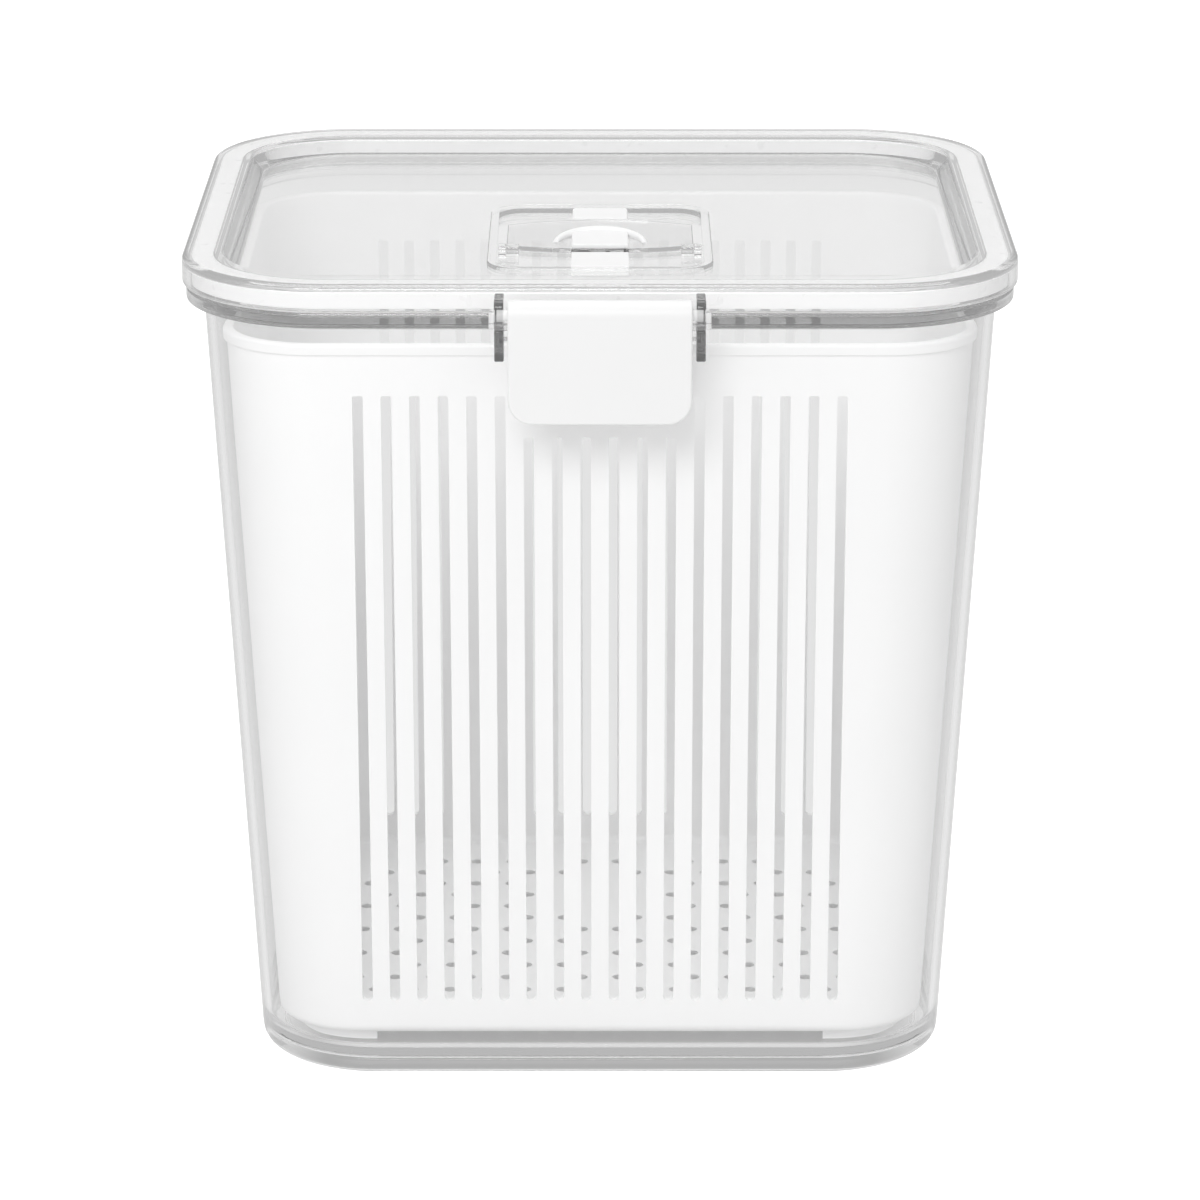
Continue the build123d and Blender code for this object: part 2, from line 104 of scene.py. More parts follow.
@dataclass(frozen=True)
class Outline:
    """Outer plan of the lid, from which every wall is drawn in."""

    width: float = 0.224
    depth: float = 0.196
    corner: float = 0.040
    corner_steps: int = 20

    def ring(self, point: WallPoint) -> list[Point3]:
        """Places the rounded rectangle of one section point.

        Args:
            point: the section point to place.

        Returns:
            The ring's corners, anticlockwise seen from above.
        """
        half_x = self.width / 2 - point.inset - point.corner
        half_y = self.depth / 2 - point.inset - point.corner
        ring = []
        for quarter, (sign_x, sign_y) in enumerate(((1, 1), (-1, 1), (-1, -1), (1, -1))):
            for step in range(self.corner_steps + 1):
                angle = math.radians(90 * (quarter + step / self.corner_steps))
                x = sign_x * half_x + point.corner * math.cos(angle)
                y = sign_y * half_y + point.corner * math.sin(angle)
                ring.append((x, y, point.z))
        return ring


def round_section(points: Sequence[WallPoint], closed: bool, steps: int = 5) -> list[WallPoint]:
    """Rounds the corners of a wall's section.

    Args:
        points: the section's corners in order.
        closed: whether the last corner joins the first.
        steps: how many parts each rounding has.

    Returns:
        The section with an arc in place of each rounded corner.
    """
    rounded: list[WallPoint] = []
    count = len(points)
    for index, here in enumerate(points):
        if here.round <= 0 or (not closed and index in (0, count - 1)):
            rounded.append(here)
            continue
        before, after = points[index - 1], points[(index + 1) % count]
        corner = Vector((here.inset, here.z))
        back = Vector((before.inset, before.z)) - corner
        ahead = Vector((after.inset, after.z)) - corner
        half = back.angle(ahead) / 2
        reach = here.round / math.tan(half)
        centre = corner + (back.normalized() + ahead.normalized()).normalized() * here.round / math.sin(half)
        start = corner + back.normalized() * reach
        end = corner + ahead.normalized() * reach
        plan_start = here.corner + (before.corner - here.corner) * reach / back.length
        plan_end = here.corner + (after.corner - here.corner) * reach / ahead.length
        first = math.atan2(*(start - centre).yx)
        sweep = math.atan2(*(end - centre).yx) - first
        sweep = (sweep + math.pi) % (2 * math.pi) - math.pi
        for step in range(steps + 1):
            part = step / steps
            angle = first + sweep * part
            place = centre + here.round * Vector((math.cos(angle), math.sin(angle)))
            rounded.append(WallPoint(place.x, place.y, plan_start + (plan_end - plan_start) * part))
    return rounded


def finish_mesh(name: str, mesh: BMesh) -> Object:
    """Turns a bmesh into a shaded object in the scene.

    Args:
        name: name of the piece.
        mesh: the bmesh, which is freed.

    Returns:
        The new object.
    """
    bmesh.ops.recalc_face_normals(mesh, faces=mesh.faces)
    data = bpy.data.meshes.new(name)
    mesh.to_mesh(data)
    mesh.free()
    shade(data)
    piece = bpy.data.objects.new(name, data)
    bpy.context.scene.collection.objects.link(piece)
    return piece


def shade(data: Mesh) -> None:
    """Shades a mesh smooth, apart from its sharp edges."""
    data.polygons.foreach_set("use_smooth", [True] * len(data.polygons))
    data.set_sharp_from_angle(angle=math.radians(SHARP_DEGREES))


def bridge(mesh: BMesh, near: Sequence[BMVert], far: Sequence[BMVert]) -> None:
    """Fills the band between two loops of corners."""
    for index in range(len(near)):
        after = (index + 1) % len(near)
        mesh.faces.new((near[index], near[after], far[after], far[index]))


def tube(name: str, loops: Sequence[Sequence[Point3]], closed: bool = False) -> Object:
    """Joins loops of points into one closed surface.

    Args:
        name: name of the piece.
        loops: the loops in order, all of one length.
        closed: whether the last loop joins the first; if not, both ends are capped.

    Returns:
        The new object.
    """
    mesh = bmesh.new()
    rings = [[mesh.verts.new(point) for point in loop] for loop in loops]
    for near, far in zip(rings, rings[1:]):
        bridge(mesh, near, far)
    if closed:
        bridge(mesh, rings[-1], rings[0])
    else:
        mesh.faces.new(rings[0])
        mesh.faces.new(rings[-1])
    return finish_mesh(name, mesh)


def shell(name: str, outline: Outline, section: Sequence[WallPoint], closed: bool = False) -> Object:
    """Runs a wall's section round the plan.

    Args:
        name: name of the piece.
        outline: the plan.
        section: the wall's section; an open one is capped at both ends.
        closed: whether the section is a closed loop.

    Returns:
        The new object, one closed surface.
    """
    return tube(name, [outline.ring(point) for point in round_section(section, closed)], closed)


def rectangle(
    low: Point2, high: Point2, radii: tuple[float, float, float, float] = (0.0,) * 4, steps: int = 8
) -> list[Point2]:
    """Outline of a rectangle, plain or with its own radius at each corner.

    Args:
        low: lowest corner.
        high: highest corner.
        radii: radius at the low-low, high-low, high-high and low-high corner.
        steps: how many parts each rounded corner has.

    Returns:
        The outline's points, anticlockwise.
    """
    corners = (
        (low[0], low[1], 1, 1),
        (high[0], low[1], -1, 1),
        (high[0], high[1], -1, -1),
        (low[0], high[1], 1, -1),
    )
    outline: list[Point2] = []
    for quarter, ((x, y, in_x, in_y), radius) in enumerate(zip(corners, radii)):
        if radius <= 0:
            outline.append((x, y))
            continue
        for step in range(steps + 1):
            angle = math.radians(180 + 90 * (quarter + step / steps))
            across = x + in_x * radius + radius * math.cos(angle)
            outline.append((across, y + in_y * radius + radius * math.sin(angle)))
    return outline


def place(along: Along, point: Point2, depth: float) -> Point3:
    """Puts a point of an outline in space: X takes (y, z), Y takes (x, z) and Z takes (x, y)."""
    a, b = point
    return {Along.X: (depth, a, b), Along.Y: (a, depth, b), Along.Z: (a, b, depth)}[along]


def prism(
    name: str,
    outlines: Sequence[Sequence[Point2]],
    along: Along,
    start: float,
    end: float,
    bevel: float = 0.0,
    bevel_steps: int = 3,
) -> Object:
    """Draws outlines out into solids, and rounds their sharp edges.

    Args:
        name: name of the piece.
        outlines: one outline for each separate solid.
        along: the direction to draw out in.
        start: where the solids start along it.
        end: where they end.
        bevel: radius of the rounded edges.
        bevel_steps: how many parts each rounding has.

    Returns:
        The new object.
    """
    mesh = bmesh.new()
    for outline in outlines:
        low = [mesh.verts.new(place(along, point, start)) for point in outline]
        high = [mesh.verts.new(place(along, point, end)) for point in outline]
        mesh.faces.new(low)
        mesh.faces.new(high)
        bridge(mesh, low, high)
    bmesh.ops.recalc_face_normals(mesh, faces=mesh.faces)
    if bevel > 0:
        edges = [edge for edge in mesh.edges if edge.calc_face_angle(0.0) > math.radians(BEVEL_DEGREES)]
        shape = {"segments": bevel_steps, "profile": 0.5, "affect": "EDGES", "clamp_overlap": True}
        bmesh.ops.bevel(mesh, geom=edges, offset=bevel, **shape)
    return finish_mesh(name, mesh)


def circle(centre: Point2, radius: float, steps: int = 32) -> list[Point2]:
    """Outline of a circle."""
    turns = [2 * math.pi * step / steps for step in range(steps)]
    return [(centre[0] + radius * math.cos(t), centre[1] + radius * math.sin(t)) for t in turns]


def bake(piece: Object) -> Mesh:
    """Applies an object's modifiers to its mesh.

    Args:
        piece: the object that is changed.

    Returns:
        The object's new mesh.
    """
    depsgraph = bpy.context.evaluated_depsgraph_get()
    data = bpy.data.meshes.new_from_object(
        piece.evaluated_get(depsgraph), preserve_all_data_layers=True, depsgraph=depsgraph
    )
    piece.modifiers.clear()
    old = piece.data
    piece.data = data
    data.name = piece.name
    bpy.data.meshes.remove(old)
    return data


def combine(target: Object, tool: Object, cut: Cut) -> None:
    """Joins a tool mesh to a target, or removes it, and deletes the tool.

    Args:
        target: the object that is changed.
        tool: the object that it is combined with.
        cut: whether the tool is joined or removed.
    """
    step = target.modifiers.new("combine", "BOOLEAN")
    step.operation = cut.value
    step.solver = "EXACT"
    step.object = tool
    data = bake(target)
    bpy.data.objects.remove(tool)
    tidy = bmesh.new()
    tidy.from_mesh(data)
    bmesh.ops.remove_doubles(tidy, verts=tidy.verts, dist=WELD_DISTANCE)
    bmesh.ops.dissolve_degenerate(tidy, edges=tidy.edges, dist=WELD_DISTANCE)
    tidy.to_mesh(data)
    tidy.free()
    shade(data)


def settle_normals(piece: Object) -> None:
    """Keeps a piece's flat faces flat beside rounded edges, by weighing the normals by area.

    Args:
        piece: the object that is changed.
    """
    step = piece.modifiers.new("settle", "WEIGHTED_NORMAL")
    step.mode = "FACE_AREA"
    step.weight = 100
    step.keep_sharp = True
    bake(piece)


class Nodes:
    """Short way to build a material's node tree."""

    def __init__(self, tree: NodeTree) -> None:
        """Empties the tree and keeps it."""
        self.tree = tree
        tree.nodes.clear()

    def add(self, kind: str, inputs: Optional[dict[str, object]] = None, **settings: object) -> Node:
        """Adds a node.

        Args:
            kind: the shader node's type, such as Mix.
            inputs: socket name to a value, or to an output socket to link.
            settings: the node's own properties.

        Returns:
            The new node.
        """
        node = self.tree.nodes.new(f"ShaderNode{kind}")
        for key, value in settings.items():
            setattr(node, key, value)
        for key, value in (inputs or {}).items():
            socket = node.inputs[int(key)] if key.isdigit() else node.inputs[key]
            if isinstance(value, NodeSocket):
                self.tree.links.new(value, socket)
            else:
                socket.default_value = value
        return node

    def ramp(self, factor: NodeSocket, stops: Sequence[Point2]) -> NodeSocket:
        """Maps a factor through grey stops.

        Args:
            factor: the socket to map.
            stops: position and grey value of each stop.

        Returns:
            The ramp's colour socket.
        """
        node = self.add("ValToRGB", {"Fac": factor})
        elements = node.color_ramp.elements
        while len(elements) < len(stops):
            elements.new(0.5)
        for element, (position, grey) in zip(elements, stops):
            element.position = position
            element.color = (grey, grey, grey, 1.0)
        return node.outputs["Color"]

    def work_out(self, operation: str, *values: object) -> NodeSocket:
        """Adds a calculation with numbers or sockets, and returns its result."""
        inputs = {str(place): value for place, value in enumerate(values)}
        return self.add("Math", inputs, operation=operation).outputs[0]

    def noise(self, scale: float, detail: float) -> NodeSocket:
        """Adds noise on the object's own coordinates, and returns its height."""
        inputs = {"Vector": self.add("TexCoord").outputs["Object"], "Scale": scale, "Detail": detail}
        return self.add("TexNoise", inputs).outputs["Fac"]

    def spread(self, value: NodeSocket, low: float, high: float) -> NodeSocket:
        """Maps a value from 0 to 1 onto a range, and returns it."""
        inputs = {"Value": value, "To Min": low, "To Max": high}
        return self.add("MapRange", inputs).outputs["Result"]

    def bump(self, height: NodeSocket, strength: float, distance: float) -> NodeSocket:
        """Bends the normal by a height, and returns it."""
        inputs = {"Height": height, "Strength": strength, "Distance": distance}
        return self.add("Bump", inputs).outputs["Normal"]

    def glow(self, tone: object, strength: float = 1.0) -> Node:
        """Adds a shader that shines in a colour or a socket's colour."""
        return self.add("Emission", {"Color": tone, "Strength": strength})

    def split(self, vector: NodeSocket) -> Sequence[NodeSocket]:
        """Splits a vector, and returns its X, Y and Z."""
        return self.add("SeparateXYZ", {"Vector": vector}).outputs

    def plastic(
        self, tone: NodeSocket, rough: NodeSocket, ior: float, normal: NodeSocket, clear: float = 0.0
    ) -> Node:
        """Adds a plastic shader, which lets through a share of the light."""
        inputs = {"Base Color": tone, "Roughness": rough, "IOR": ior, "Transmission Weight": clear}
        return self.add("BsdfPrincipled", {**inputs, "Normal": normal})

    def mix(self, factor: NodeSocket, first: Node, second: Node) -> Node:
        """Mixes two shaders, with the second alone at a factor of one."""
        inputs = {"Fac": factor, "1": first.outputs[0], "2": second.outputs[0]}
        return self.add("MixShader", inputs)

    def by_ray(self, base: Node, rays: dict[str, Node]) -> Node:
        """Gives some kinds of ray their own shader.

        Args:
            base: the shader that all other rays see.
            rays: the Light Path output's name and the shader for that kind of ray.

        Returns:
            The last mix.
        """
        path = self.add("LightPath").outputs
        shown = base
        for ray, shader in rays.items():
            shown = self.mix(path[ray], shown, shader)
        return shown


def new_material(name: str) -> tuple[Material, Nodes]:
    """Makes an empty material.

    Args:
        name: the material's name.

    Returns:
        The material and its nodes.
    """
    material = bpy.data.materials.new(name)
    material.use_nodes = True
    return material, Nodes(material.node_tree)


@dataclass(frozen=True)
class Finish:
    """A kind of surface, which makes one material."""

    name: str

    def shader(self, nodes: Nodes) -> Node:
        """Builds the surface in a material's nodes.

        Args:
            nodes: the material's nodes.

        Returns:
            The last shader.
        """
        raise NotImplementedError

    def material(self) -> Material:
        """Builds the material.

        Returns:
            The new material.
        """
        material, nodes = new_material(self.name)
        nodes.add("OutputMaterial", {"Surface": self.shader(nodes).outputs[0]})
        return material


@dataclass(frozen=True)
class ClearPlastic(Finish):
    """Polished clear plastic, with painted shade where it is seen edge on."""

    name: str = "clear_plastic"
    ior: float = 1.47
    face_tone: float = 0.995
    # Painted shade: the colour darkens from face_tone towards edge_tone as upright faces are seen more edge
    # on.
    edge_tone: float = 0.45
    edge_start: float = 0.72
    wave_height: float = 0.000002
    # Painted light: rays that turn more than deepest times end in a white glow of the strength below.
    deepest: float = 5.5
    deep_tone: float = 0.46
    toned_depth: float = 2.5
    shoulder_tone: float = 0.96
    edge_width: float = 0.1
    wave_scale: float = 38.0
    scuff_scale: float = 420.0
    scuff: float = 0.045
    wave_strength: float = 0.4

    def tone(self, nodes: Nodes, depth: NodeSocket) -> NodeSocket:
        """Colour of the plastic: painted shade at upright faces seen edge on, and plain once a ray is well
        inside.

        Args:
            nodes: the material's nodes.
            depth: how often the ray has turned.

        Returns:
            The colour's socket.
        """
        # Painted shade: upright faces seen edge on darken, standing in for the dark edges of light bent
        # through the walls; flat faces and deep rays stay plain.
        weight = nodes.add("LayerWeight", {"Blend": 0.5}).outputs["Facing"]
        stops = (
            (0.0, self.face_tone),
            (self.edge_start, self.shoulder_tone),
            (self.edge_start + self.edge_width, self.edge_tone),
        )
        edge = nodes.ramp(weight, stops)
        normal = nodes.add("NewGeometry").outputs["Normal"]
        level = nodes.work_out("ABSOLUTE", nodes.split(normal)["Z"])
        inside = nodes.work_out("GREATER_THAN", depth, self.toned_depth)
        plain = nodes.work_out("MAXIMUM", level, inside)
        face = (self.face_tone, self.face_tone, self.face_tone, 1.0)
        mix = nodes.add("Mix", {"Factor": plain, "6": edge, "7": face}, data_type="RGBA")
        return mix.outputs[2]

    def shader(self, nodes: Nodes) -> Node:
        """Lets shadow and diffuse rays through, and ends long paths in a painted glow.

        Args:
            nodes: the material's nodes.

        Returns:
            The last shader.
        """
        path = nodes.add("LightPath").outputs
        tone = self.tone(nodes, path["Ray Depth"])
        rough = nodes.spread(nodes.noise(self.scuff_scale, 3.0), 0.0, self.scuff)
        normal = nodes.bump(nodes.noise(self.wave_scale, 1.0), self.wave_strength, self.wave_height)
        plastic = nodes.plastic(tone, rough, self.ior, normal, clear=1.0)
        # Painted light: a ray past this depth glows white in place of the light that would still reach it.
        deep = nodes.work_out("GREATER_THAN", path["Ray Depth"], self.deepest)
        ended = nodes.mix(deep, plastic, nodes.glow(WHITE, self.deep_tone))
        through = nodes.work_out("MAXIMUM", path["Is Shadow Ray"], path["Is Diffuse Ray"])
        clear = nodes.add("BsdfTransparent", {"Color": WHITE})
        return nodes.mix(through, ended, clear)


@dataclass(frozen=True)
class WhitePlastic(Finish):
    """Satin white plastic with the faint texture of a moulding."""

    name: str = "white_plastic"
    tone: float = 0.87
    tone_change: float = 0.012
    roughness: float = 0.42
    roughness_change: float = 0.05
    grain_height: float = 0.00002
    grain_scale: float = 1600.0
    grain_strength: float = 0.3
    cloud_scale: float = 9.0
    ior: float = 1.5

    def shader(self, nodes: Nodes) -> Node:
        """Clouds the white a little, and gives it a fine grain.

        Args:
            nodes: the material's nodes.

        Returns:
            The last shader.
        """
        cloud = nodes.noise(self.cloud_scale, 2.0)
        tones = ((0.35, self.tone - self.tone_change), (0.65, self.tone + self.tone_change))
        grain = nodes.noise(self.grain_scale, 2.0)
        smooth, rough = self.roughness - self.roughness_change, self.roughness + self.roughness_change
        normal = nodes.bump(grain, self.grain_strength, self.grain_height)
        return nodes.plastic(nodes.ramp(cloud, tones), nodes.spread(grain, smooth, rough), self.ior, normal)


@dataclass(frozen=True)
class Silicone(Finish):
    """Soft silicone, white or nearly clear."""

    tone: float
    transmission: float
    roughness: float
    tone_change: float = 0.015
    roughness_change: float = 0.08
    dust_scale: float = 260.0
    dust_height: float = 0.00002
    dust_strength: float = 0.2
    ior: float = 1.41

    def shader(self, nodes: Nodes) -> Node:
        """Gives the silicone a soft surface with a trace of dust.

        Args:
            nodes: the material's nodes.

        Returns:
            The last shader.
        """
        dust = nodes.noise(self.dust_scale, 4.0)
        smooth, rough = self.roughness - self.roughness_change, self.roughness + self.roughness_change
        tone = nodes.ramp(dust, ((0.3, self.tone - self.tone_change), (0.7, self.tone)))
        normal = nodes.bump(dust, self.dust_strength, self.dust_height)
        return nodes.plastic(tone, nodes.spread(dust, smooth, rough), self.ior, normal, self.transmission)


class Finishes:
    """The object's materials."""

    def __init__(self) -> None:
        """Makes each material once."""
        self.clear = ClearPlastic().material()
        # Painted shade: the ears, the catch and the flange get darker copies of the one clear plastic.
        self.clear_ear = ClearPlastic("clear_plastic_ear_painted_shade", face_tone=0.42, edge_tone=0.3).material()
        self.clear_catch = ClearPlastic("clear_plastic_catch_painted_shade", face_tone=0.2, edge_tone=0.15).material()
        self.clear_flange = ClearPlastic("clear_plastic_flange_painted_shade", face_tone=0.45, edge_tone=0.35).material()
        self.white = WhitePlastic().material()
        # Painted light: the basket's white is brighter than the latch's, making up for light lost through the
        # clear walls.
        self.basket_white = WhitePlastic("basket_plastic_painted_light", tone=0.965).material()
        self.soft_white = Silicone("white_silicone", tone=0.9, transmission=0.0, roughness=0.6).material()
        self.soft_clear = Silicone("gasket_silicone", tone=0.985, transmission=0.05, roughness=0.3).material()


def dress(piece: Object, material: Material, body: str, slot: str, *nodes: str) -> None:
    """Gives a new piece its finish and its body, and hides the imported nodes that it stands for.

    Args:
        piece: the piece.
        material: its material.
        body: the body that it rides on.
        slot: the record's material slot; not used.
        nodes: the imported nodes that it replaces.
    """
    piece.data.transform(Matrix.Translation((0.0, LID_MIDDLE_Y, 0.0)))
    settle_normals(piece)
    piece.data.materials.clear()
    piece.data.materials.append(material)
    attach(piece, body)
    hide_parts(*nodes)
    LOG.info("%s: %d faces on %s", piece.name, len(piece.data.polygons), body)


def paint_node(node: str, material: Material) -> None:
    """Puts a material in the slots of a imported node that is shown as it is.

    Args:
        node: the node's name.
        material: its material.
    """
    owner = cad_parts[node]
    if not owner.material_slots:
        owner.data.materials.append(material)
    for slot in owner.material_slots:
        slot.material = material
    LOG.info("%s: painted", node)


@dataclass(frozen=True)
class Stack:
    """Heights and insets that the shells share."""

    outline: Outline = Outline()
    rim_top: float = 0.2235
    flange_top: float = 0.2210
    flange_foot: float = 0.2176
    skirt_foot: float = 0.2220
    lid_top: float = 0.2296
    panel_top: float = 0.2245
    panel_foot: float = 0.2220
    draft: float = math.tan(math.radians(2.92))
    body_inset: float = 0.0058
    body_corner: float = 0.0342
    pivot_y: float = 0.1035
    pivot_z: float = 0.2230
    ear_inner_x: float = 0.0250
    ear_thickness: float = 0.0025

    def ear_pair(self, owner: str, outline: Sequence[Point2]) -> list[Object]:
        """Draws an outline in y and z out into the owner's left and right ear.

        Args:
            owner: the start of the ears' names.
            outline: the ear's outline in y and z.

        Returns:
            The left and the right ear.
        """
        starts = (("left", -self.ear_inner_x - self.ear_thickness), ("right", self.ear_inner_x))
        return [
            prism(f"{owner}_ear_{side}", [outline], Along.X, start, start + self.ear_thickness, Round.SMALL)
            for side, start in starts
        ]

    def wall(self, z: float, extra: float, rounding: float = 0.0) -> WallPoint:
        """Returns a section point on the tapered body, inset from the bin's outer face."""
        inset = self.body_inset + self.draft * (self.flange_foot - z) + extra
        return WallPoint(inset, z, self.body_corner - extra, rounding)

    def edge(self, inset: float, z: float, rounding: float = 0.0) -> WallPoint:
        """Returns a section point on a wall that keeps the lid's outline."""
        return WallPoint(inset, z, self.outline.corner - inset, rounding)


@dataclass
class Part:
    """A part of the object, built on the shared heights."""

    stack: Stack

    def build(self, finishes: Finishes) -> None:
        """Builds and dresses the part's pieces.

        Args:
            finishes: the object's materials.
        """
        raise NotImplementedError


@dataclass
class ClearBin(Part):
    """Tapered clear bin: foot rim, raised floor, flange, rim, ears and catch ledge."""

    wall: float = 0.0025
    floor_top: float = 0.0073
    floor_foot: float = 0.0048
    foot_rim: float = 0.0060
    rim_inset: float = 0.0052
    flange_inset: float = 0.0010
    notch_half: float = 0.0291
    ear_low: float = 0.2109
    ear_high: float = 0.2191
    ear_end: float = 0.1054
    ledge_low: float = 0.2150
    ledge_high: float = 0.2180
    ledge_reach: float = 0.0080
    foot_round: float = 0.0050
    foot_inner_round: float = 0.0015
    floor_round: float = 0.0040
    under_ring: float = 0.010
    floor_ring: float = 0.012
    flange_gap: float = 0.0001
    notch_depth: float = 0.0060
    notch_drop: float = 0.0012

    def section(self) -> list[WallPoint]:
        """Wall section from the middle of the underside, round the outside, to the middle of the floor.

        Returns:
            The section's corners in order.
        """
        stack = self.stack
        return [
            stack.wall(self.floor_foot, self.foot_rim + self.under_ring),
            stack.wall(self.floor_foot, self.foot_rim, self.foot_inner_round),
            stack.wall(0.0, self.foot_rim, Round.SOFT),
            stack.wall(0.0, 0.0, self.foot_round),
            stack.wall(stack.flange_foot, 0.0, Round.HAIR),
            stack.edge(self.rim_inset, stack.flange_foot + Round.HAIR, Round.HAIR),
            stack.edge(self.rim_inset, stack.rim_top, Round.EDGE),
            stack.edge(self.rim_inset + self.wall, stack.rim_top, Round.EDGE),
            stack.edge(self.rim_inset + self.wall, stack.flange_foot, Round.HAIR),
            stack.wall(stack.flange_foot, self.wall, Round.HAIR),
            stack.wall(self.floor_top, self.wall, self.floor_round),
            stack.wall(self.floor_top, self.wall + self.floor_ring),
        ]

    def flange(self) -> Object:
        """Makes the flange round the rim, with a notch for the latch.

        Returns:
            The flange as one object.
        """
        stack = self.stack
        root = self.rim_inset - self.flange_gap
        section = [
            stack.edge(self.flange_inset, stack.flange_foot, Round.EDGE),
            stack.edge(self.flange_inset, stack.flange_top, Round.EDGE),
            stack.edge(root, stack.flange_top, Round.FINE),
            stack.edge(root, stack.flange_foot, Round.FINE),
        ]
        ring = shell("bin_flange", stack.outline, section, closed=True)
        front = -stack.outline.depth / 2
        notch = rectangle((-self.notch_half, front - OVERCUT), (self.notch_half, front + self.notch_depth))
        low, high = stack.flange_foot - self.notch_drop, stack.flange_top + OVERCUT
        combine(ring, prism("notch", [notch], Along.Z, low, high), Cut.REMOVE)
        return ring

    def build(self, finishes: Finishes) -> None:
        """Builds and dresses the bin, its flange and its ears.

        Args:
            finishes: the object's materials.
        """
        stack = self.stack
        piece = shell("clear_bin", stack.outline, self.section())
        half_depth = stack.outline.depth / 2
        dress(self.flange(), finishes.clear_flange, "bin", "clear_plastic", "bin")
        wall_y = stack.wall(self.ledge_low, self.wall / 2).inset - half_depth
        face_y = stack.wall(self.ear_low, 0.0).inset - half_depth
        ear = rectangle((-self.ear_end, self.ear_low), (face_y, self.ear_high))
        for lug in stack.ear_pair("bin", ear):
            dress(lug, finishes.clear_catch, "bin", "clear_plastic", "bin")
        ledge_y = stack.wall(self.ledge_low, 0.0).inset - half_depth - self.ledge_reach
        ledge = rectangle((ledge_y, self.ledge_low), (wall_y, self.ledge_high))
        reach = stack.ear_inner_x + stack.ear_thickness / 2
        combine(piece, prism("ledge", [ledge], Along.X, -reach, reach, Round.FINE), Cut.JOIN)
        dress(piece, finishes.clear, "bin", "clear_plastic", "bin")


